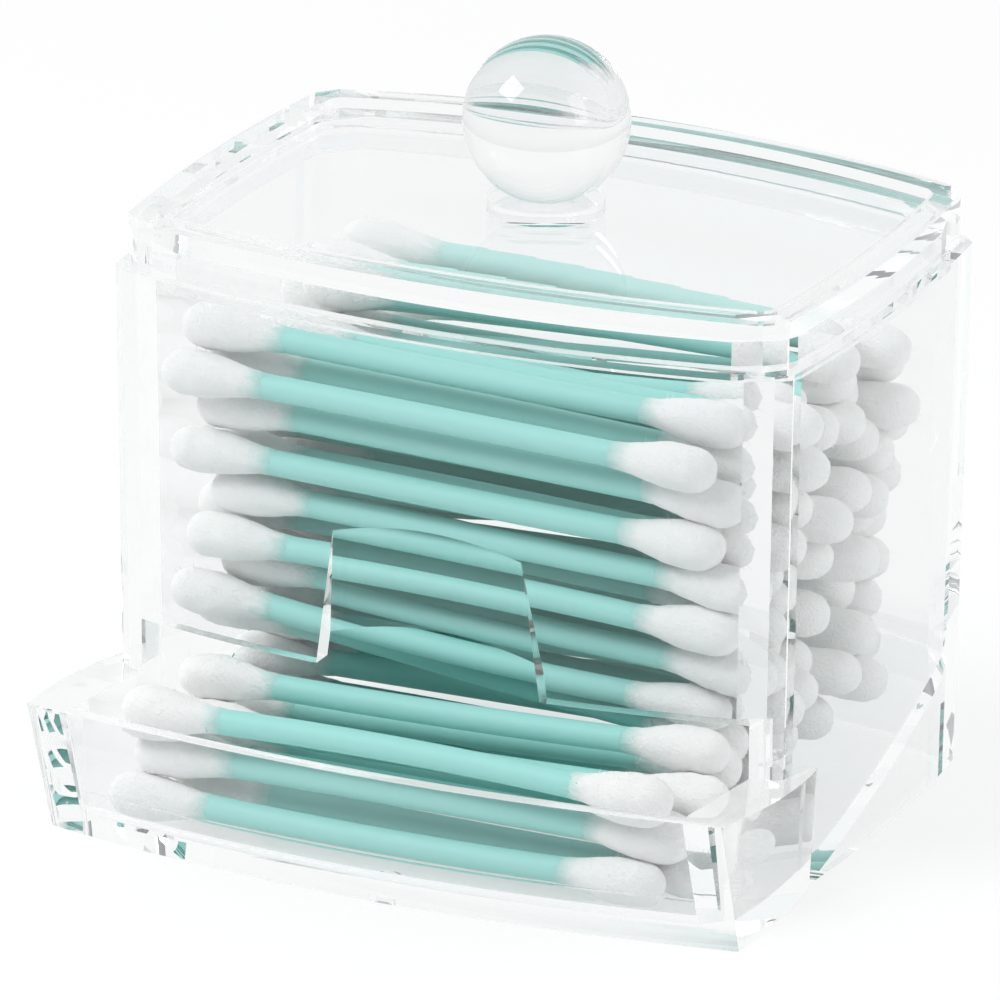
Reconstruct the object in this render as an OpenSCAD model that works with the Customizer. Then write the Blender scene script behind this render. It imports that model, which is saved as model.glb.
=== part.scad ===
// Clear cotton swab dispenser: hopper with front tray, lift-off lid with ball knob, and swabs.
// Millimetres, +Z up, the tray faces -Y, the origin is under the middle of the footprint.

/* [Hopper] */
// Width of the hopper at its top edge, corner to corner
hopper_w = 89.4; // [87:0.2:94]
// Depth of the hopper at its top edge, corner to corner
hopper_d = 56.2; // [54:0.2:62]
// Height of the hopper's top edge above the table
hopper_h = 67.5; // [65:0.2:76]
// How far the front and back walls bulge beyond the corners
face_bow = 5.8; // [4.5:0.1:7]
// How far the side walls bulge beyond the corners
side_bow = 1.6; // [1:0.1:2.2]
// How far each wall leans in between the top edge and the table
draft = 0.9; // [0.4:0.1:1.2]
// Thickness of the hopper walls and skirts
wall = 3.1; // [2.6:0.1:3.4]
// Leg of the facet on each outer corner
corner_cut = 1.2; // [0.8:0.1:2]
// Leg of the facet in each inner corner
inner_cut = 2.6; // [2:0.1:3.2]

/* [Front opening] */
// Height of the front wall's lower edge
front_edge_z = 23; // [22:0.5:25]
// Height of the finger notch where it starts on the outer face
notch_top_z = 44; // [40:0.5:47]
// Height at which the notch breaks through the inner face
notch_inner_z = 31; // [29:0.5:34]
// Width of the finger notch at its top
notch_top_w = 24; // [20:0.5:28]
// Width of the finger notch at the lower edge of the front wall
notch_bottom_w = 30; // [28:0.5:36]

/* [Tray] */
// How far the tray rim reaches out in front of the hopper
tray_out = 19.5; // [17:0.1:23]
// How far the tray rim stands out beyond each side of the hopper
tray_lip = 1.2; // [1:0.1:2.6]
// Height of the rim at the tray's front corners
rim_front_z = 18; // [17.2:0.1:19]
// Height of the rim where the tray meets the hopper
rim_back_z = 15.4; // [14.4:0.1:16.4]
// How far the front wall flares out between the table and the rim
front_flare = 6; // [4:0.1:7]
// How far the tray sides flare out between the table and the rim
side_flare = 1; // [0.6:0.1:1.4]
// How far the tray front bulges beyond its corners
tray_face_bow = 4.9; // [4:0.1:6]
// How far the tray sides bulge beyond their ends
tray_side_bow = 1.2; // [0.8:0.1:1.8]
// How far the tray sides run back past the hopper's front corners
tray_wrap = 8.2; // [6:0.1:11]
// Thickness of the tray's front wall
tray_front_t = 2.4; // [2:0.1:2.8]
// Thickness of the tray floor
floor_t = 3.1; // [2.6:0.1:3.5]
// Step between the hopper's inner sides and the sides of the opening below the front wall
mouth_step = 0.2; // [0.1:0.1:0.4]
// Radius inside the tray, between the front wall and the floor
tray_round = 4; // [2:0.2:5]
// Diameter of the moulding mark under the tray floor
gate_d = 3.4; // [2:0.2:5]
// Depth of the moulding mark
gate_depth = 0.5; // [0.2:0.1:0.8]

/* [Chute] */
// Slope of the chute
chute_angle = 18; // [14:0.5:20]
// Thickness of the chute
chute_t = 3.1; // [2.4:0.1:3.6]
// How far in front of the hopper's middle the chute starts
chute_start = 15; // [12:0.5:17]
// Radius between the chute and the back wall
chute_round = 8; // [5:0.5:9]

/* [Lid] */
// Ledge left on the hopper beside the lid
lid_ledge_x = 1.3; // [1:0.1:2]
// Ledge left on the hopper in front of and behind the lid
lid_ledge_y = 0.7; // [0.6:0.1:1.6]
// Height of the lid at its corners
lid_h = 6.4; // [6:0.1:8]
// Rise of the lid's top in the middle
lid_crown = 0.6; // [0.3:0.05:1]
// Leg of the facet on each lid corner
lid_cut = 1.6; // [1.2:0.1:3]
// Leg of the facet in each corner of the recess
recess_cut = 0.7; // [0.4:0.1:1.6]
// Width of the raised rim
rim_w = 3.2; // [2.6:0.1:4]
// Depth of the panel below the rim
panel_recess = 1.4; // [1:0.1:1.6]
// Thickness of the panel at its edge
panel_t = 2.4; // [2:0.1:2.6]
// How far the locating rib drops into the hopper's mouth
rib_drop = 2; // [1.5:0.1:3]
// Thickness of the locating rib
rib_t = 1.6; // [1.2:0.1:2]
// Play between the locating rib and the hopper's mouth
rib_clear = 0.4; // [0.3:0.05:0.6]
// Gap under the resting lid
lid_gap = 0.1; // [0.05:0.01:0.2]

/* [Knob] */
// Diameter of the ball
knob_d = 20.5; // [18:0.5:24]
// Diameter of the knob's foot
foot_d = 14.5; // [12:0.5:16]
// Height of the knob's foot
foot_h = 1.7; // [1.4:0.1:3]
// How deep the ball sinks into the foot
foot_sink = 0.6; // [0.5:0.1:1.2]
// Glue line under the foot
glue_gap = 0.05; // [0.03:0.01:0.08]

/* [Swabs] */
// Free length beside a swab in the hopper
swab_play = 8; // [7:0.2:11]
// Diameter of the plastic stick
stick_d = 3.2; // [2.4:0.1:3.4]
// Diameter of the cotton tip
tip_d = 5.4; // [5:0.1:5.6]
// Length of the cotton tip
tip_l = 13.5; // [11:0.5:15]
// Diameter of the cotton where it ends on the stick
tip_neck_d = 3.9; // [3.6:0.1:4.2]
// Free height between the pile and the hopper's top edge
headspace = 6; // [5:0.5:30]
// Share of the tips' square that a swab takes up in the pile
swab_room = 1.4; // [1.4:0.05:2]
// Swabs in the tray
tray_count = 7; // [4:1:8]
// Smallest space between swabs
swab_clear = 0.12; // [0.1:0.02:0.2]
// Slope within which a swab settles
settle_slope = 0.08; // [0.02:0.01:0.1]
// Share of the swabs that stay askew
askew_share = 0.3; // [0:0.05:0.5]
// Slope of the most askew swab
askew_slope = 0.17; // [0.02:0.01:0.24]
// Largest turn of a swab seen from above, as a slope
max_turn = 0.05; // [0.01:0.01:0.08]
// Number that decides how the swabs fall
fall_seed = 7; // [1:1:40]

/* [Hidden] */
layers = 8;
big = 200;
face_fn = 360;
round_fn = 64;
swab_fn = 28;

function bow_radius(chord, bow) = (chord * chord / 4 + bow * bow) / (2 * bow);
face_r = bow_radius(hopper_w, face_bow);
side_r = bow_radius(hopper_d, side_bow);
face_c = face_r - hopper_d / 2 - face_bow;
side_c = side_r - hopper_w / 2 - side_bow;
corner_sum = hopper_w / 2 + hopper_d / 2;
// How far a corner between bowed walls moves in, as x plus y, for each millimetre of inset
function corner_share(w, w_r, d, d_r) =
  let (a = asin(w / 2 / w_r), b = asin(d / 2 / d_r))
  sqrt(2) * cos((a - b) / 2) / sin((90 + a + b) / 2);
hopper_share = corner_share(hopper_w, face_r, hopper_d, side_r);
function lean(z) = draft * (1 - z / hopper_h);
facet_lean = atan(hopper_share * draft / sqrt(2) / hopper_h);

// Tray
tray_w = hopper_w + 2 * tray_lip;
tray_reach = hopper_d / 2 + face_bow + tray_out;
wrap_y = -hopper_d / 2 + tray_wrap;
tray_r = bow_radius(tray_w, tray_face_bow);
tray_c = tray_r - tray_reach;
tray_corner_y = -tray_reach + tray_face_bow;
rim_tilt = atan2(rim_front_z - rim_back_z, wrap_y - tray_corner_y);
flare_slope = front_flare / rim_front_z;
side_slope = side_flare / rim_front_z;
tray_side_r = bow_radius(wrap_y - tray_corner_y, tray_side_bow);
tray_side_c = tray_side_r - tray_w / 2 - tray_side_bow;
tray_side_y = (wrap_y + tray_corner_y) / 2;
tray_block_h = 26;
mouth_half_w = hopper_w / 2 - draft - wall - mouth_step;
tray_back_y = wrap_y + 1;

// The hopper's middle lies behind the middle of the footprint by this much
rim_rise = tray_face_bow * tan(rim_tilt) / (1 - flare_slope * tan(rim_tilt));
hopper_y = (tray_reach + flare_slope * rim_rise - hopper_d / 2 - face_bow) / 2;

// Chute: its upper face is floor_t high at -chute_start and climbs to the back wall
chute_k = tan(chute_angle);
chute_drop = chute_t / cos(chute_angle);
back_corner_y = hopper_d / 2 - wall - draft;
chute_back_z = floor_t + chute_k * (back_corner_y - chute_round + chute_start);
round_z = chute_back_z + 0.94 * chute_round / cos(chute_angle);

// Notch: its sloping face runs from the outer face of the front wall to the inner one
front_mid_y = -hopper_d / 2 - face_bow;
notch_tilt = atan2(wall, notch_top_z - notch_inner_z);

// Lid
lid_w = hopper_w - 2 * lid_ledge_x;
lid_d = hopper_d - 2 * lid_ledge_y;
lid_face_r = bow_radius(lid_w, face_bow);
lid_side_r = bow_radius(lid_d, side_bow);
lid_face_c = lid_face_r - lid_d / 2 - face_bow;
lid_side_c = lid_side_r - lid_w / 2 - side_bow;
lid_sum = lid_w / 2 + lid_d / 2;
lid_share = corner_share(lid_w, lid_face_r, lid_d, lid_side_r);
lid_z = hopper_h + lid_gap;
lid_top_z = lid_z + lid_h;
crown_steps = 14;
function crown_z(x) = lid_top_z + lid_crown * (1 - pow(2 * x / lid_w, 2));
panel_z = lid_top_z - panel_recess - panel_t;
rib_out = wall + rib_clear;
rib_in = rib_out + rib_t;

// Knob
foot_z = lid_top_z + lid_crown - panel_recess + glue_gap;
knob_z = foot_z + foot_h - foot_sink + knob_d / 2;

// Swabs: each one is [x, y, z, turn, slope] of its middle
stick_r = stick_d / 2;
tip_r = tip_d / 2;
neck_r = tip_neck_d / 2;
half_l = mouth_half_w - swab_play / 2;
stick_half = half_l - tip_l;
butt_gap = 0.02;
tip_slope = asin((tip_r - neck_r) / (tip_l - tip_r));
pile_depth = 2 * back_y(half_l - tip_r);
pile_h = hopper_h - headspace - floor_t - chute_k * (chute_start + back_corner_y) / 2;
per_layer = floor(pile_depth * pile_h / (layers * swab_room * tip_d * tip_d));
pile_n = layers * per_layer;
swab_n = pile_n + tray_count;
shift_max = mouth_half_w - half_l - 0.3;
station_end = mouth_half_w + 1.4;
end_steps = [for (i = [0 : 7]) station_end * (1 - i / 14)];
mid_steps = [station_end / 3, station_end / 8];
stations = concat([for (x = end_steps) -x], [for (x = mid_steps) -x], mid_steps, end_steps);
try_n = 20;
luck_n = try_n + 4;
settle_steps = [-1, -0.6, -0.3, 0, 0.3, 0.6, 1];
luck = rands(0, 1, swab_n * luck_n, fall_seed);

// Radius of a swab at a distance s from its middle, taken a little large
function swab_r(s) =
  abs(s) > half_l + 0.4 ? 0 :
  abs(s) > half_l - tip_r - 1.5 ? tip_r :
  abs(s) > stick_half - 0.8 ? neck_r + (tip_r - neck_r) * (abs(s) - stick_half + 1.5) / (tip_l - tip_r) :
  stick_r;

// Inner face of the back wall at a distance s from the middle, at the foot
function back_y(s) = sqrt(pow(face_r - wall - draft, 2) - s * s) - face_c;

// Height of a round of radius r that rests on the floor, the chute or the foot of the back wall
function seat(s, y, r) =
  let (arc_y = back_y(s) - chute_round, arc_r = chute_round - r)
  max(
    floor_t + r,
    floor_t + chute_k * (y + chute_start) + r / cos(chute_angle),
    y > arc_y ? round_z - sqrt(max(0, arc_r * arc_r - pow(y - arc_y, 2))) : 0
  );

// Lowest height at which a swab at x, y with this turn and slope clears the ground and the others
function rest_z(x, y, turn, slope, others) =
  let (
    near = [for (o = others) if (abs(o[1] - y) < tip_d + 3) o],
    heights = [for (s = stations)
      let (r = swab_r(s - x))
      if (r > 0)
        let (yi = y + turn * (s - x), dz = slope * (s - x))
        max(concat(
          [seat(s, yi, r + swab_clear) - dz],
          [for (o = near)
            let (
              ro = swab_r(s - o[0]),
              gap = r + ro + swab_clear,
              dy = yi - o[1] - o[3] * (s - o[0])
            )
            if (ro > 0 && abs(dy) < gap)
              o[2] + o[4] * (s - o[0]) + sqrt(gap * gap - dy * dy) - dz]
        ))
    ]
  )
  max(heights);

// Front and back limits for the middle of a swab that lies at x with this turn
function limits(in_tray, x, turn) =
  let (
    e = half_l - tip_r,
    ends = [x - e, x + e],
    room = tip_r + 2 * swab_clear,
    backs = [for (s = ends) back_y(s) - room - turn * (s - x)],
    fronts = [for (s = ends) -back_y(s) + room - turn * (s - x)],
    tray_in_r = tray_r - front_flare - tray_front_t + flare_slope * (floor_t + tip_r),
    tray_wall = [for (s = ends) tray_c - sqrt(tray_in_r * tray_in_r - s * s)],
    tray_front = [for (k = [0, 1]) tray_wall[k] + room + 0.8 - turn * (ends[k] - x)]
  )
  in_tray ? [max(tray_front), -hopper_d / 2 + 0.6 - abs(turn) * half_l] : [max(fronts), min(backs)];

function lowest(list) = [for (k = [0 : len(list) - 1]) if (list[k] == min(list)) k][0];

// Place where swab number i comes to rest on the earlier ones
function dropped(i, others) =
  let (
    l = i * luck_n,
    in_tray = i >= pile_n,
    x = shift_max * (2 * luck[l] - 1),
    turn = max_turn * (2 * luck[l + 1] - 1) * (in_tray ? 0.5 : 1),
    askew = !in_tray && luck[l + 2] < askew_share,
    lean0 = (2 * luck[l + 3] - 1) * (askew ? askew_slope : settle_slope / 2),
    lim = limits(in_tray, x, turn),
    ys = [for (k = [0 : try_n - 1]) lim[0] + (lim[1] - lim[0]) * (k + luck[l + 4 + k]) / try_n],
    zs = [for (y = ys) rest_z(x, y, turn, lean0, others)],
    y = ys[lowest(zs)],
    slopes = [for (t = settle_steps) askew ? lean0 + t * settle_slope / 4 : t * settle_slope],
    hs = [for (t = slopes) rest_z(x, y, turn, t, others)],
    pick = lowest(hs)
  )
  [x, y, hs[pick], turn, slopes[pick]];

pile = [for (i = 0, p = []; i <= swab_n; p = i < swab_n ? concat(p, [dropped(i, p)]) : p, i = i + 1)
  if (i == swab_n) each p];

// Solid between four bowed, leaning walls with cut corners, from z0 to z1
module bowed_block(z0, z1, inset, cut) {
  r0 = -inset - lean(z0);
  r1 = -inset - lean(z1);
  difference() {
    intersection() {
      translate([0, face_c, z0]) cylinder(h = z1 - z0, r1 = face_r + r0, r2 = face_r + r1, $fn = face_fn);
      translate([0, -face_c, z0]) cylinder(h = z1 - z0, r1 = face_r + r0, r2 = face_r + r1, $fn = face_fn);
      translate([side_c, 0, z0]) cylinder(h = z1 - z0, r1 = side_r + r0, r2 = side_r + r1, $fn = face_fn);
      translate([-side_c, 0, z0]) cylinder(h = z1 - z0, r1 = side_r + r0, r2 = side_r + r1, $fn = face_fn);
    }
    for (turn = [45 : 90 : 315]) rotate([0, 0, turn])
      translate([(corner_sum - hopper_share * (inset + draft) - cut) / sqrt(2), 0, 0])
        rotate([0, facet_lean, 0]) translate([0, -big / 4, -big / 4]) cube([big / 4, big / 2, big]);
  }
}

// Half space below the sloping rim of the tray
module below_rim() {
  translate([0, wrap_y, rim_back_z]) rotate([-rim_tilt, 0, 0])
    translate([-big / 2, -big / 2, -big / 2]) cube([big, big, big / 2]);
}

module tray_outside() {
  intersection() {
    translate([0, tray_c, 0]) cylinder(
      h = tray_block_h,
      r1 = tray_r - front_flare,
      r2 = tray_r + flare_slope * (tray_block_h - rim_front_z),
      $fn = face_fn);
    for_sides() cylinder(
      h = tray_block_h,
      r1 = tray_side_r - side_flare,
      r2 = tray_side_r + side_slope * (tray_block_h - rim_front_z),
      $fn = face_fn);
    translate([-big / 2, wrap_y - big / 2, 0]) cube([big, big / 2, tray_block_h]);
    below_rim();
  }
}

// Overlap of the two side shapes of the tray
module for_sides() {
  intersection() {
    translate([tray_side_c, tray_side_y, 0]) children();
    translate([-tray_side_c, tray_side_y, 0]) children();
  }
}

// Space inside the tray and below the front wall
module tray_inside() {
  r_floor = tray_r - front_flare + flare_slope * floor_t - tray_front_t;
  r_top = r_floor + flare_slope * (front_edge_z - floor_t);
  r_in = r_floor - hopper_d;
  intersection() {
    translate([0, tray_c, 0]) rotate_extrude($fn = face_fn) difference() {
      polygon([[r_in, 0], [r_floor - flare_slope * floor_t, 0], [r_top, front_edge_z], [r_in, front_edge_z]]);
      difference() {
        translate([r_floor - tray_round, 0]) square([tray_round * 2, floor_t + tray_round * 0.9]);
        translate([r_floor - tray_round * 0.72, floor_t + tray_round * 0.9]) circle(r = tray_round, $fn = round_fn);
      }
    }
    translate([-mouth_half_w, -big / 2, 0]) cube([2 * mouth_half_w, big / 2 + tray_back_y, front_edge_z]);
  }
}

// Space inside the hopper, with the rounded foot of the back wall
module hopper_inside() {
  back_r = face_r - wall - lean(round_z);
  intersection() {
    bowed_block(0, hopper_h + 1, wall, inner_cut);
    union() {
      translate([-big / 2, -big / 2, round_z]) cube([big, big, big / 2]);
      translate([0, -face_c, 0]) rotate_extrude($fn = face_fn) union() {
        translate([face_r / 2, 0]) square([back_r - chute_round - face_r / 2, round_z]);
        intersection() {
          translate([back_r - chute_round, round_z]) circle(r = chute_round, $fn = round_fn);
          translate([back_r - chute_round, round_z - big / 2]) square([big / 2, big / 2]);
        }
      }
    }
  }
}

// Everything above the tray floor and the chute
module above_chute() {
  rotate([90, 0, 90]) translate([0, 0, -big / 2]) linear_extrude(height = big)
    polygon([
      [-big / 2, floor_t],
      [-chute_start, floor_t],
      [big / 2, floor_t + chute_k * (big / 2 + chute_start)],
      [big / 2, big],
      [-big / 2, big]
    ]);
}

// Hollow below the chute, open to the table
module below_chute() {
  foot = (chute_drop - floor_t) / chute_k - chute_start;
  intersection() {
    bowed_block(-1, hopper_h, wall, inner_cut);
    rotate([90, 0, 90]) translate([0, 0, -big / 2]) linear_extrude(height = big)
      polygon([
        [foot - 1 / chute_k, -1],
        [big / 2, -1],
        [big / 2, chute_k * (big / 2 - foot)]
      ]);
  }
}

// Finger notch: a trapezoid seen from the front, in front of a steep sloping face
module notch() {
  intersection() {
    translate([0, 0, 0]) rotate([90, 0, 0]) linear_extrude(height = big / 2)
      polygon([
        [-notch_bottom_w / 2, front_edge_z - 1],
        [notch_bottom_w / 2, front_edge_z - 1],
        [notch_top_w / 2, notch_top_z],
        [notch_top_w / 2, notch_top_z + 6],
        [-notch_top_w / 2, notch_top_z + 6],
        [-notch_top_w / 2, notch_top_z]
      ]);
    translate([0, front_mid_y, notch_top_z]) rotate([notch_tilt, 0, 0])
      translate([-big / 2, -big / 2, -big / 2]) cube([big, big / 2, big]);
  }
}

module hopper_body() {
  color([0.93, 0.96, 0.97, 0.35]) translate([0, hopper_y, 0]) difference() {
    union() {
      bowed_block(0, hopper_h, 0, corner_cut);
      tray_outside();
    }
    intersection() {
      above_chute();
      union() {
        hopper_inside();
        tray_inside();
      }
    }
    below_chute();
    notch();
    translate([0, tray_corner_y + front_flare, -1]) cylinder(h = 1 + gate_depth, d = gate_d, $fn = round_fn);
  }
}

// Solid in the lid's outline, from z0 to z1
module lid_block(z0, z1, inset, cut) {
  h = z1 - z0;
  intersection() {
    translate([0, lid_face_c, z0]) cylinder(h = h, r = lid_face_r - inset, $fn = face_fn);
    translate([0, -lid_face_c, z0]) cylinder(h = h, r = lid_face_r - inset, $fn = face_fn);
    translate([lid_side_c, 0, z0]) cylinder(h = h, r = lid_side_r - inset, $fn = face_fn);
    translate([-lid_side_c, 0, z0]) cylinder(h = h, r = lid_side_r - inset, $fn = face_fn);
    translate([0, 0, z0]) cylinder(h = h, r = lid_sum - lid_share * inset - cut, $fn = 4);
  }
}

// Everything below the lid's crowned top, lowered by drop
module crown(drop) {
  half = lid_w / 2 + side_bow + 1;
  rotate([90, 0, 0]) translate([0, 0, -big / 2]) linear_extrude(height = big)
    polygon(concat(
      [[-half, 0], [half, 0]],
      [for (i = [crown_steps : -1 : 0]) let (x = half * (2 * i / crown_steps - 1)) [x, crown_z(x) - drop]]
    ));
}

module lid() {
  color([0.93, 0.96, 0.97, 0.35]) translate([0, hopper_y, 0]) difference() {
    union() {
      intersection() {
        lid_block(lid_z, lid_top_z + 2 * lid_crown, 0, lid_cut);
        crown(0);
      }
      bowed_block(hopper_h - rib_drop, lid_z + 0.5, rib_out, inner_cut + 0.4);
    }
    difference() {
      lid_block(panel_z, lid_top_z + 4, rim_w, recess_cut);
      crown(panel_recess);
    }
    bowed_block(hopper_h - rib_drop - 1, panel_z, rib_in, inner_cut + 0.4);
  }
}

module lid_knob() {
  color([0.93, 0.96, 0.97, 0.45]) translate([0, hopper_y, 0]) union() {
    translate([0, 0, knob_z]) sphere(d = knob_d, $fn = 2 * round_fn);
    translate([0, 0, foot_z]) cylinder(h = foot_h, d = foot_d, $fn = round_fn);
  }
}

// Places a swab with its length along local X
module place(p) {
  translate([p[0], p[1] + hopper_y, p[2]])
    rotate([0, -atan(p[4]), atan(p[3])]) children();
}

module stick() {
  rotate([0, 90, 0]) cylinder(h = 2 * (stick_half - butt_gap), r = stick_r, center = true, $fn = swab_fn);
}

// Cotton tip: a cone from the neck into a round end
module tip() {
  c = tip_l - tip_r;
  rx = tip_r * cos(tip_slope);
  rz = c - tip_r * sin(tip_slope);
  translate([stick_half, 0, 0]) rotate([0, 90, 0]) rotate_extrude($fn = swab_fn) union() {
    polygon([[0, 0], [neck_r, 0], [rx, rz], [0, rz]]);
    intersection() {
      translate([0, c]) circle(r = tip_r, $fn = swab_fn);
      translate([0, rz]) square([tip_d, tip_l]);
    }
  }
}

module sticks(first, count) {
  color([0.62, 0.87, 0.84]) for (i = [first : first + count - 1]) place(pile[i]) stick();
}

module tips(first, count) {
  color([0.98, 0.98, 0.97]) for (i = [first : first + count - 1]) place(pile[i]) {
    tip();
    rotate([0, 0, 180]) tip();
  }
}

hopper_body();
lid();
lid_knob();
sticks(0, per_layer);  // sticks_01
sticks(per_layer, per_layer);  // sticks_02
sticks(2 * per_layer, per_layer);  // sticks_03
sticks(3 * per_layer, per_layer);  // sticks_04
sticks(4 * per_layer, per_layer);  // sticks_05
sticks(5 * per_layer, per_layer);  // sticks_06
sticks(6 * per_layer, per_layer);  // sticks_07
sticks(7 * per_layer, per_layer);  // sticks_08
sticks(pile_n, tray_count);  // sticks_tray
tips(0, per_layer);  // tips_01
tips(per_layer, per_layer);  // tips_02
tips(2 * per_layer, per_layer);  // tips_03
tips(3 * per_layer, per_layer);  // tips_04
tips(4 * per_layer, per_layer);  // tips_05
tips(5 * per_layer, per_layer);  // tips_06
tips(6 * per_layer, per_layer);  // tips_07
tips(7 * per_layer, per_layer);  // tips_08
tips(pile_n, tray_count);  // tips_tray
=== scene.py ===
import math

import bpy
import numpy as np
from mathutils import Matrix, Vector, noise


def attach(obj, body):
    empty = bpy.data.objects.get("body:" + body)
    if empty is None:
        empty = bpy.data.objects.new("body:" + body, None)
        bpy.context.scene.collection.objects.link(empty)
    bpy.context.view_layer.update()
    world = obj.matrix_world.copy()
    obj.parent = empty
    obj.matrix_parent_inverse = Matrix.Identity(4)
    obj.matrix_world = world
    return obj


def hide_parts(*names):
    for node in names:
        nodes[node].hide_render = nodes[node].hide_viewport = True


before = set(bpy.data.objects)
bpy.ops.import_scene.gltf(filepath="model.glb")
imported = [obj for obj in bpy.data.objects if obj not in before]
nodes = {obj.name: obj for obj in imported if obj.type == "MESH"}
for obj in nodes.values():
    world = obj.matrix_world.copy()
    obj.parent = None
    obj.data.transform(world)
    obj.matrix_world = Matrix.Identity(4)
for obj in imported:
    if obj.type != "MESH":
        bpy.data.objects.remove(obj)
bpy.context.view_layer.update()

MM = 0.001
WHITE = (1.0, 1.0, 1.0, 1.0)

# Values of the sticks
STICK_R = 1.6 * MM
STICK_SIDES = 28
STICK_RINGS = 9
STICK_BOW = 0.25 * MM
STICK_INTO_TIP = 2.0 * MM
STICK_MINT = (0.35, 0.69, 0.65, 1.0)
STICK_GLOSS = 0.2
STICK_ROUGH_MIN = 0.42
STICK_ROUGH_MAX = 0.56
STICK_GRAIN = {"Scale": 160.0, "Detail": 2.0}

# Values of the cotton tips
TIP_R = 2.85 * MM
TIP_L = 13.9 * MM
TIP_RINGS = 26
TIP_SIDES = 32
TIP_KIND_COUNT = 10
TIP_OVER_STICK = 0.35 * MM
TIP_SINK = 0.04 * MM
TIP_RING_POWER = 0.9
TIP_START = 0.2 * MM
TIP_GROWTH = 8.6 * MM
TIP_COLLAR = 1.5 * MM
TIP_COLLAR_SHARE = 0.12
TIP_END = 3.7 * MM
TIP_END_POWER = 2.3
COTTON_WHITE = (0.95, 0.95, 0.94, 1.0)
COTTON_OVER_MINT = (0.39, 0.71, 0.67, 1.0)
COTTON_GRAIN = {"Scale": 2600.0, "Detail": 5.0, "Roughness": 0.65}
COTTON_BUMP = {"Strength": 0.8, "Distance": 0.4 * MM}

# Lumps in the cotton, in units of the noise, as shares of the radius, and as a shift along the tip
LUMPS_ALONG = 260.0
LUMPS_AROUND = 1.1
LUMPS_BETWEEN_KINDS = Vector((7.3, 3.1, 0.0))
BIG_LUMPS = 0.8
BIG_LUMP_SHARE = 0.06
BIG_LUMP_SHIFT = 0.25 * MM
SMALL_LUMPS = 2.6
SMALL_LUMP_SHARE = 0.05

# The neck, where the cotton is thin and the stick shows through
THIN_START = 0.2 * MM
THIN_LENGTH = 3.2 * MM
THIN_SPREAD = 1.6 * MM
THIN_POWER = 1.3

# Loose fibres on each tip
FIBRES = 320
FIBRE_FIRST_RING = 3
FIBRE_LENGTH = (0.4 * MM, 1.1 * MM)
FIBRE_LIFT = (0.25, 0.7)
FIBRE_LEAN = 0.7
FIBRE_HALF_WIDTH = 0.03 * MM

# Values of the clear plastic
CLEAR_TINT = (0.952, 0.960, 0.961, 1.0)
CLEAR_THROUGH = (0.975, 0.985, 0.985, 1.0)
CLEAR_MIRROR = (0.45, 0.45, 0.45, 1.0)
CLEAR_IOR = 1.57
CAUGHT_AFTER = 9.5

# Values of the stage, in metres and watts
FLOOR_HALF = 3.0
FLOOR_Z = -0.2 * MM
FLOOR_COLOR = (0.92, 0.92, 0.92, 1.0)
FLOOR_WHITE_SHARE = 0.75
SKY_LIGHT = 0.97
SKY_DIM_SIDE = (0.30, -0.86, 0.42)
SKY_RAMP = ((0.50, WHITE), (0.92, (0.30, 0.31, 0.33, 1.0)))
LAMP_AIM = Vector((0.0, 0.0, 0.04))
KEY = {"at": (-0.55, -0.45, 0.75), "size": (0.5, 0.4), "power": 5.7}
FILL = {"at": (0.75, -0.2, 0.45), "size": (0.3, 0.6), "power": 1.9}

# The camera that was fitted to the photo, in degrees, millimetres and pixels
AZIMUTH = math.radians(25.002)
ELEVATION = math.radians(20.248)
ROLL = math.radians(0.477)
CAMERA_DISTANCE = 1491.119
CAMERA_RIGHT = -4.979
CAMERA_UP = 33.418
PIXELS_PER_MM = 8.124
IMAGE_WIDTH = 1000.0
SENSOR_WIDTH = 36.0
CLIP_NEAR = 0.05
CLIP_FAR = 20.0

# Light bounces
BOUNCES = 16
DIFFUSE_BOUNCES = 5
TRANSPARENT_BOUNCES = 24

# Points nearer than this in the CAD meshes are one point
WELD = 0.001 * MM
POINT_DECIMALS = 7

SWAB_SEED = 5
rng = np.random.default_rng(SWAB_SEED)


# Nodes for materials and the world
def add_node(tree, kind, inputs=None):
    """A new node with the given values in its inputs."""
    node = tree.nodes.new(kind)
    for key, value in (inputs or {}).items():
        node.inputs[key].default_value = value
    return node


def math_node(tree, operation, first, second):
    """The result of a Math node on a socket and on a second socket or a number."""
    node = add_node(tree, "ShaderNodeMath")
    node.operation = operation
    tree.links.new(first, node.inputs[0])
    if isinstance(second, float):
        node.inputs[1].default_value = second
    else:
        tree.links.new(second, node.inputs[1])
    return node.outputs[0]


def mix_shaders(tree, factor, first, second):
    """A blend of two shaders, all of the second where the factor is 1."""
    mix = add_node(tree, "ShaderNodeMixShader")
    tree.links.new(factor, mix.inputs["Fac"])
    tree.links.new(first, mix.inputs[1])
    tree.links.new(second, mix.inputs[2])
    return mix.outputs["Shader"]


def grain(tree, values):
    """A noise over the object's own coordinates."""
    place = add_node(tree, "ShaderNodeTexCoord")
    cloud = add_node(tree, "ShaderNodeTexNoise", values)
    tree.links.new(place.outputs["Object"], cloud.inputs["Vector"])
    return cloud.outputs["Fac"]


def seen(tree):
    """1 for rays from the camera, a mirror image or a refraction, and 0 for those that carry light."""
    path = add_node(tree, "ShaderNodeLightPath")
    direct = math_node(tree, "MAXIMUM", path.outputs["Is Camera Ray"], path.outputs["Is Glossy Ray"])
    return math_node(tree, "MAXIMUM", direct, path.outputs["Is Transmission Ray"])


# Materials
def new_material(name):
    """An empty node material, with its node tree and the input for its surface."""
    material = bpy.data.materials.new(name)
    material.use_nodes = True
    tree = material.node_tree
    tree.nodes.clear()
    out = add_node(tree, "ShaderNodeOutputMaterial")
    return material, tree, out.inputs["Surface"]


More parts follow.
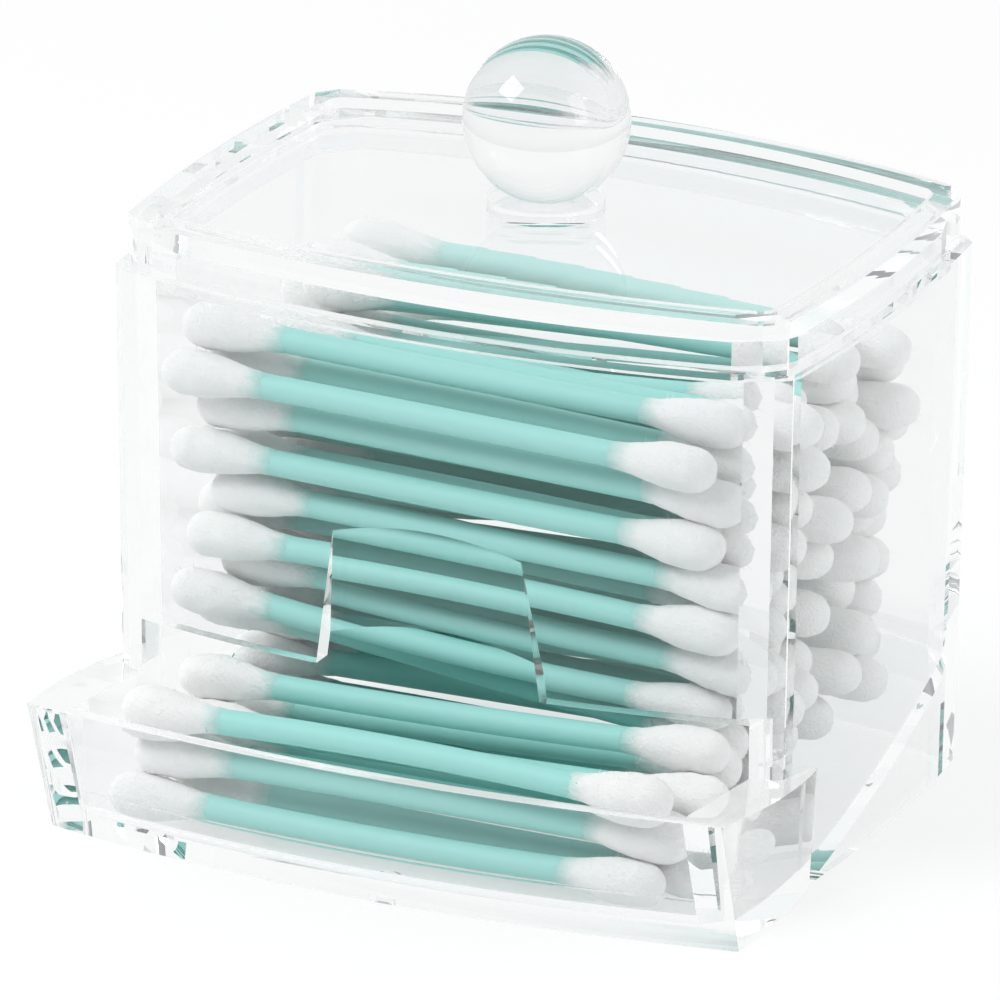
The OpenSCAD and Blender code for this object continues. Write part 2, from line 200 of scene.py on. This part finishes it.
def clear_plastic():
    """Clear plastic. Shadow and diffuse rays, and rays that are caught in it, go straight through."""
    material, tree, surface = new_material("clear_plastic")
    values = {"Base Color": CLEAR_TINT, "Roughness": 0.0, "IOR": CLEAR_IOR}
    values.update({"Transmission Weight": 1.0, "Specular Tint": CLEAR_MIRROR})
    body = add_node(tree, "ShaderNodeBsdfPrincipled", values)
    through = add_node(tree, "ShaderNodeBsdfTransparent", {"Color": CLEAR_THROUGH})
    path = add_node(tree, "ShaderNodeLightPath")
    soft = math_node(tree, "MAXIMUM", path.outputs["Is Shadow Ray"], path.outputs["Is Diffuse Ray"])
    caught = math_node(tree, "GREATER_THAN", path.outputs["Ray Depth"], CAUGHT_AFTER)
    straight = math_node(tree, "MAXIMUM", soft, caught)
    shader = mix_shaders(tree, straight, body.outputs["BSDF"], through.outputs["BSDF"])
    tree.links.new(shader, surface)
    return material


def stick_plastic():
    """Mint plastic with a slightly uneven gloss."""
    material, tree, surface = new_material("stick_plastic")
    values = {"Base Color": STICK_MINT, "Specular IOR Level": STICK_GLOSS}
    body = add_node(tree, "ShaderNodeBsdfPrincipled", values)
    rough = add_node(tree, "ShaderNodeMapRange", {"To Min": STICK_ROUGH_MIN, "To Max": STICK_ROUGH_MAX})
    tree.links.new(grain(tree, STICK_GRAIN), rough.inputs["Value"])
    tree.links.new(rough.outputs["Result"], body.inputs["Roughness"])
    tree.links.new(body.outputs["BSDF"], surface)
    return material


def cotton():
    """Matt cotton, which shows the mint where the attribute called thin is high."""
    material, tree, surface = new_material("cotton")
    body = add_node(tree, "ShaderNodeBsdfPrincipled", {"Base Color": COTTON_WHITE, "Roughness": 1.0})
    bump = add_node(tree, "ShaderNodeBump", COTTON_BUMP)
    tree.links.new(grain(tree, COTTON_GRAIN), bump.inputs["Height"])
    tree.links.new(bump.outputs["Normal"], body.inputs["Normal"])
    thin = add_node(tree, "ShaderNodeAttribute")
    thin.attribute_name = "thin"
    tint = add_node(tree, "ShaderNodeMix")
    tint.data_type = "RGBA"
    tint.inputs["A"].default_value = COTTON_WHITE
    tint.inputs["B"].default_value = COTTON_OVER_MINT
    tree.links.new(thin.outputs["Fac"], tint.inputs["Factor"])
    tree.links.new(tint.outputs["Result"], body.inputs["Base Color"])
    tree.links.new(body.outputs["BSDF"], surface)
    return material


def floor_material():
    """A pale floor that keeps the shadow, and is close to white where it is seen."""
    material, tree, surface = new_material("floor")
    matt = add_node(tree, "ShaderNodeBsdfDiffuse", {"Color": FLOOR_COLOR})
    glow = add_node(tree, "ShaderNodeEmission", {"Color": WHITE, "Strength": 1.0})
    share = math_node(tree, "MULTIPLY", seen(tree), FLOOR_WHITE_SHARE)
    shader = mix_shaders(tree, share, matt.outputs["BSDF"], glow.outputs["Emission"])
    tree.links.new(shader, surface)
    return material


MAT_CLEAR = clear_plastic()
MAT_STICK = stick_plastic()
MAT_COTTON = cotton()


# Meshes
def mesh_object(name, points, faces, material, smooth=True):
    """A new object in the scene from points and faces."""
    mesh = bpy.data.meshes.new(name)
    mesh.from_pydata([tuple(p) for p in points], [], faces)
    mesh.polygons.foreach_set("use_smooth", [smooth] * len(mesh.polygons))
    mesh.materials.append(material)
    mesh.update()
    obj = bpy.data.objects.new(name, mesh)
    bpy.context.scene.collection.objects.link(obj)
    return obj


def tube_faces(rings, sides):
    """Quads between neighbouring rings of points."""
    return [
        (i * sides + k, i * sides + (k + 1) % sides, (i + 1) * sides + (k + 1) % sides, (i + 1) * sides + k)
        for i in range(rings - 1)
        for k in range(sides)
    ]


def repeated(faces, copies, points_each):
    """The faces of one shape, for several copies of its points."""
    return [tuple(points_each * c + i for i in face) for c in range(copies) for face in faces]


def unit(vectors):
    """Rows of vectors brought to length 1."""
    return vectors / np.linalg.norm(vectors, axis=1)[:, None]


def axes_for(along, spin):
    """Three axes as rows: along, and two across it that are turned by spin."""
    side = np.cross([0, 0, 1.0], along)
    side /= np.linalg.norm(side)
    up = np.cross(along, side)
    c, s = math.cos(spin), math.sin(spin)
    return np.stack([along, c * side + s * up, -s * side + c * up])


# Places of the swabs, read from the CAD
def node_islands(obj):
    """The points of each separate solid in a CAD node."""
    mesh = obj.data
    points = np.array([v.co for v in mesh.vertices], float).reshape(-1, 3)
    key = np.round(points / WELD).astype(np.int64)
    ids = np.unique(key, axis=0, return_inverse=True)[1].reshape(-1)
    parent = list(range(ids.max() + 1))

    def find(i):
        while parent[i] != i:
            parent[i] = parent[parent[i]]
            i = parent[i]
        return i

    for poly in mesh.polygons:
        roots = [find(ids[k]) for k in poly.vertices]
        for other in roots[1:]:
            parent[find(other)] = find(roots[0])
    root = np.array([find(i) for i in ids])
    return [points[root == r] for r in np.unique(root)]


def stick_pose(points):
    """Middle, direction and half length of a stick."""
    points = np.unique(np.round(points, POINT_DECIMALS), axis=0)
    middle = points.mean(0)
    along = np.linalg.svd(points - middle)[2][0]
    if along[0] < 0:
        along = -along
    t = (points - middle) @ along
    middle = middle + along * (t.max() + t.min()) / 2
    return middle, along, (t.max() - t.min()) / 2


# Swabs
def tip_shape(kind):
    """Points of one cotton tip along +X, its neck at the origin, and how thin the cotton is at each."""
    s = np.linspace(0, 1, TIP_RINGS) ** TIP_RING_POWER * TIP_L
    growth = np.clip((s - TIP_START) / TIP_GROWTH, 0, 1)
    growth = growth * growth * (3 - 2 * growth)
    collar = np.clip(s / TIP_COLLAR, 0, 1) * TIP_COLLAR_SHARE
    neck_r = STICK_R - TIP_SINK
    radius = neck_r + (TIP_R - neck_r) * np.maximum(growth, collar)
    tail = np.clip((s - (TIP_L - TIP_END)) / TIP_END, 0, 1)
    radius = radius * np.sqrt(np.maximum(0, 1 - tail ** TIP_END_POWER))
    points, thin = [], []
    for i in range(TIP_RINGS):
        for k in range(TIP_SIDES):
            angle = 2 * math.pi * k / TIP_SIDES
            c, sn = math.cos(angle), math.sin(angle)
            at = Vector((s[i] * LUMPS_ALONG, c * LUMPS_AROUND, sn * LUMPS_AROUND))
            at += LUMPS_BETWEEN_KINDS * kind
            big = noise.noise(at * BIG_LUMPS)
            small = noise.noise(at * SMALL_LUMPS)
            r = radius[i] * (1 + BIG_LUMP_SHARE * big + SMALL_LUMP_SHARE * small)
            points.append((s[i] + BIG_LUMP_SHIFT * big * (1 - tail[i]), r * c, r * sn))
            covered = np.clip((s[i] - THIN_START) / (THIN_LENGTH + THIN_SPREAD * small), 0, 1)
            thin.append(float(1 - covered) ** THIN_POWER)
    return np.array(points), np.array(thin)


def fibre_points(tip_points, kind):
    """Loose fibres that stand off a cotton tip, each a thin triangle of three points."""
    draw = np.random.default_rng(kind)
    ring = draw.integers(FIBRE_FIRST_RING, TIP_RINGS - 1, FIBRES)
    side = draw.integers(0, TIP_SIDES, FIBRES)
    root = tip_points.reshape(TIP_RINGS, TIP_SIDES, 3)[ring, side]
    axis = np.zeros((FIBRES, 3))
    axis[:, 0] = np.minimum(root[:, 0], TIP_L - TIP_R)
    out = unit(root - axis)
    lean = unit(draw.normal(0, 1, (FIBRES, 3)))
    length = draw.uniform(*FIBRE_LENGTH, FIBRES)[:, None]
    lift = draw.uniform(*FIBRE_LIFT, FIBRES)[:, None]
    end = root + (out * lift + lean * FIBRE_LEAN) * length
    wide = np.cross(out, lean) * FIBRE_HALF_WIDTH
    return np.stack([root - wide, root + wide, end], 1).reshape(-1, 3)


def tip_kind(kind):
    """One tip with its fibres: the points and how thin the cotton is at each."""
    points, thin = tip_shape(kind)
    fibres = fibre_points(points, kind)
    return np.concatenate([points, fibres]), np.concatenate([thin, np.zeros(len(fibres))])


def stick_points(middle, along, half, bow):
    """Rings of points along a stick that bows sideways."""
    axes = axes_for(along, 0.0)
    angle = 2 * math.pi * np.arange(STICK_SIDES) / STICK_SIDES
    ring = STICK_R * np.stack([0 * angle, np.cos(angle), np.sin(angle)], 1)
    reach = half + STICK_INTO_TIP
    rows = []
    for t in np.linspace(-reach, reach, STICK_RINGS):
        centre = np.array([t, *(bow * (1 - (t / half) ** 2))])
        rows.append(middle + (ring + centre) @ axes)
    return np.concatenate(rows)


TIP_KINDS = [tip_kind(kind) for kind in range(TIP_KIND_COUNT)]
TIP_POINTS = TIP_RINGS * TIP_SIDES
FIBRE_FACES = [tuple(TIP_POINTS + 3 * j + k for k in range(3)) for j in range(FIBRES)]
TIP_FACES = tube_faces(TIP_RINGS, TIP_SIDES) + FIBRE_FACES
STICK_FACES = tube_faces(STICK_RINGS, STICK_SIDES)


def build_layer(tag):
    """The sticks and tips that stand for one CAD group of swabs."""
    tips, thin, sticks = [], [], []
    for island in node_islands(nodes["sticks_" + tag]):
        middle, along, half = stick_pose(island)
        for sign in (1, -1):
            points, thinness = TIP_KINDS[rng.integers(TIP_KIND_COUNT)]
            axes = axes_for(along * sign, rng.uniform(0, 2 * math.pi))
            tips.append(middle + along * sign * (half - TIP_OVER_STICK) + points @ axes)
            thin.append(thinness)
        sticks.append(stick_points(middle, along, half, rng.normal(0, STICK_BOW, 2)))
    tip_faces = repeated(TIP_FACES, len(tips), len(tips[0]))
    tip = mesh_object("swab_cotton_" + tag, np.concatenate(tips), tip_faces, MAT_COTTON)
    attribute = tip.data.attributes.new("thin", "FLOAT", "POINT")
    attribute.data.foreach_set("value", np.concatenate(thin).astype(np.float32))
    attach(tip, "dispenser")
    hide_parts("tips_" + tag)
    stick_faces = repeated(STICK_FACES, len(sticks), len(sticks[0]))
    stick = mesh_object("swab_sticks_" + tag, np.concatenate(sticks), stick_faces, MAT_STICK)
    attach(stick, "dispenser")
    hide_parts("sticks_" + tag)


for tag in ["01", "02", "03", "04", "05", "06", "07", "08", "tray"]:
    build_layer(tag)

# Clear pieces, with the CAD shapes as they are
for name in ("hopper_body", "lid", "lid_knob"):
    piece = nodes[name]
    piece.data.materials.clear()
    piece.data.materials.append(MAT_CLEAR)


# Stage
def studio_world():
    """A white surround that is dimmer in front, for grey lines in the edges of the plastic."""
    world = bpy.data.worlds.new("studio")
    world.use_nodes = True
    tree = world.node_tree
    tree.nodes.clear()
    sky = add_node(tree, "ShaderNodeBackground")
    level = add_node(tree, "ShaderNodeMapRange", {"To Min": SKY_LIGHT, "To Max": 1.0})
    tree.links.new(seen(tree), level.inputs["Value"])
    tree.links.new(level.outputs["Result"], sky.inputs["Strength"])
    place = add_node(tree, "ShaderNodeTexCoord")
    facing = add_node(tree, "ShaderNodeVectorMath")
    facing.operation = "DOT_PRODUCT"
    facing.inputs[1].default_value = SKY_DIM_SIDE
    tree.links.new(place.outputs["Generated"], facing.inputs[0])
    share = add_node(tree, "ShaderNodeMapRange", {"From Min": -1.0, "From Max": 1.0})
    tree.links.new(facing.outputs["Value"], share.inputs["Value"])
    ramp = add_node(tree, "ShaderNodeValToRGB")
    for element, (position, color) in zip(ramp.color_ramp.elements, SKY_RAMP):
        element.position = position
        element.color = color
    tree.links.new(share.outputs["Result"], ramp.inputs["Fac"])
    tree.links.new(ramp.outputs["Color"], sky.inputs["Color"])
    out = add_node(tree, "ShaderNodeOutputWorld")
    tree.links.new(sky.outputs["Background"], out.inputs["Surface"])
    return world


def area_lamp(name, at, size, power):
    """A soft lamp that looks at the middle of the part."""
    light = bpy.data.lights.new(name, "AREA")
    light.shape = "RECTANGLE"
    light.size, light.size_y = size
    light.energy = power
    lamp = bpy.data.objects.new(name, light)
    lamp.location = at
    lamp.rotation_euler = (LAMP_AIM - Vector(at)).to_track_quat("-Z", "Y").to_euler()
    bpy.context.scene.collection.objects.link(lamp)


def photo_camera():
    """The photo's camera, placed from the axis of the lid's knob."""
    back = Vector((0.0, -math.cos(ELEVATION), math.sin(ELEVATION)))
    back.rotate(Matrix.Rotation(AZIMUTH, 3, "Z"))
    level = Vector((math.cos(AZIMUTH), math.sin(AZIMUTH), 0.0))
    upright = back.cross(level)
    right = level * math.cos(ROLL) + upright * math.sin(ROLL)
    up = upright * math.cos(ROLL) - level * math.sin(ROLL)
    knob_y = [v.co.y for v in nodes["lid_knob"].data.vertices]
    axis = Vector((0.0, (min(knob_y) + max(knob_y)) / 2, 0.0))
    data = bpy.data.cameras.new("camera")
    data.sensor_width = SENSOR_WIDTH
    data.lens = CAMERA_DISTANCE * PIXELS_PER_MM * SENSOR_WIDTH / IMAGE_WIDTH
    data.clip_start, data.clip_end = CLIP_NEAR, CLIP_FAR
    camera = bpy.data.objects.new("camera", data)
    pose = Matrix((right, up, back)).transposed().to_4x4()
    pose.translation = axis + (right * CAMERA_RIGHT + up * CAMERA_UP + back * CAMERA_DISTANCE) * MM
    camera.matrix_world = pose
    bpy.context.scene.collection.objects.link(camera)
    return camera


floor_corners = [(FLOOR_HALF * x, FLOOR_HALF * y, FLOOR_Z) for x, y in ((-1, -1), (1, -1), (1, 1), (-1, 1))]
floor = mesh_object("floor", floor_corners, [(0, 1, 2, 3)], floor_material(), False)
area_lamp("key", **KEY)
area_lamp("fill", **FILL)

scene = bpy.context.scene
scene.world = studio_world()
scene.camera = photo_camera()
scene.view_settings.view_transform = "Standard"
scene.cycles.max_bounces = BOUNCES
scene.cycles.diffuse_bounces = DIFFUSE_BOUNCES
scene.cycles.glossy_bounces = BOUNCES
scene.cycles.transmission_bounces = BOUNCES
scene.cycles.transparent_max_bounces = TRANSPARENT_BOUNCES
scene.cycles.caustics_reflective = False
scene.cycles.caustics_refractive = False
